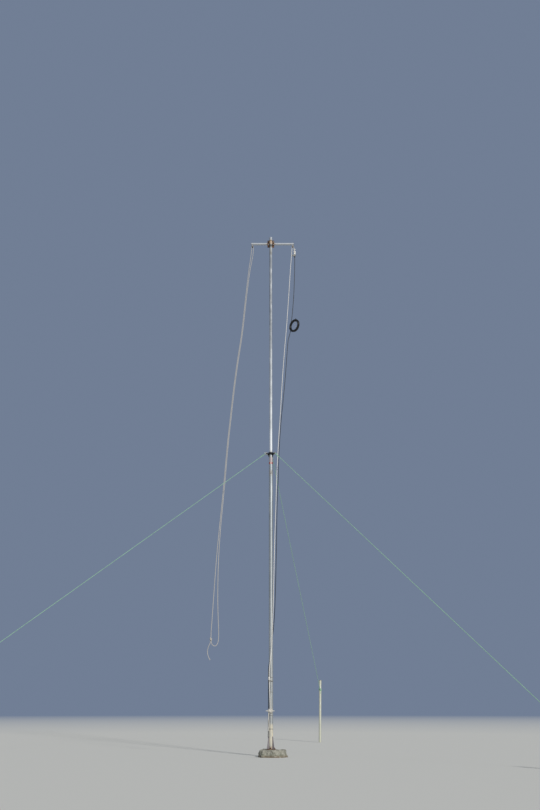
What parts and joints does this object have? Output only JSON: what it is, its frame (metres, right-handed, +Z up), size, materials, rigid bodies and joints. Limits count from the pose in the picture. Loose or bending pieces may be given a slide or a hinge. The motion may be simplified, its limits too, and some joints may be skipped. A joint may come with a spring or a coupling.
{
  "type": "guyed radio mast with crossarm and halyards",
  "caption": "Guyed pipe radio mast with a crossarm, pulleys, halyards, a coiled feed cable and rope guys on leaning posts",
  "frame": {"origin": "on the mast's axis at the middle of the footing's flat underside", "axes": "+Z up the mast; +X along the crossarm to its longer arm; +Y away from the side that the picture looks at"},
  "size_m": [8.5287, 8.5456, 8.4],
  "materials": {
    "concrete": "rough hand-laid concrete, weathered",
    "rusty_steel": "rusted steel with traces of zinc",
    "grey_paint": "dull grey paint over steel",
    "grey_galvanised": "weathered galvanised pipe",
    "bright_galvanised": "galvanised pipe with a soft sheen",
    "zinc": "zinc-plated small steel",
    "red_tape": "faded red tape",
    "black_plastic": "matt black plastic",
    "black_paint": "black paint over steel",
    "white_insulator": "white glazed insulator",
    "grey_plastic": "grey moulded plastic",
    "brass": "dull brass",
    "cable_jacket": "black cable jacket",
    "white_rope": "braided white rope",
    "green_rope": "twisted green rope, sun-faded",
    "cleat_metal": "cast light metal, worn bright"
  },
  "bodies": {
    "root": {"concrete_footing": "concrete", "base_plate": "rusty_steel", "base_gussets": "grey_paint", "anchor_studs": "rusty_steel", "lower_tube": "grey_galvanised", "upper_tube": "bright_galvanised", "joint_bolt": "zinc", "red_band": "red_tape", "mast_cap": "bright_galvanised", "guy_plate": "black_paint", "lock_collar": "black_paint", "crossarm": "bright_galvanised", "crossarm_caps": "black_plastic", "clamp_plate": "rusty_steel", "mast_u_bolts": "zinc", "arm_u_bolts": "zinc", "pulley_straps": "zinc", "pulley_sheaves": "black_plastic", "pulley_pins": "zinc", "pulley_bolts": "zinc", "feed_insulator": "white_insulator", "feed_knot": "white_rope", "feed_body": "grey_plastic", "feed_terminals": "brass", "feed_gland": "black_plastic", "coax_upper": "cable_jacket", "coax_coil": "cable_jacket", "coax_lower": "cable_jacket", "coax_ties": "black_plastic", "conduit_stub": "grey_plastic", "cleat": "cleat_metal", "cleat_bolts": "zinc", "halyard_hitch": "white_rope", "tie_off_band": "zinc", "tie_off_knot": "white_rope", "right_halyard": "white_rope", "halyard_tail": "white_rope", "left_halyard_outer": "white_rope", "left_halyard_inner": "white_rope", "left_halyard_knot": "white_rope", "left_halyard_tail": "white_rope", "guy_shackles": "zinc", "guy_back": "green_rope", "guy_right": "green_rope", "guy_left": "green_rope", "guy_hitches": "green_rope", "anchor_post_back": "grey_galvanised", "anchor_post_right": "grey_galvanised", "anchor_post_left": "grey_galvanised", "anchor_caps": "black_plastic"}
  },
  "joints": []
}
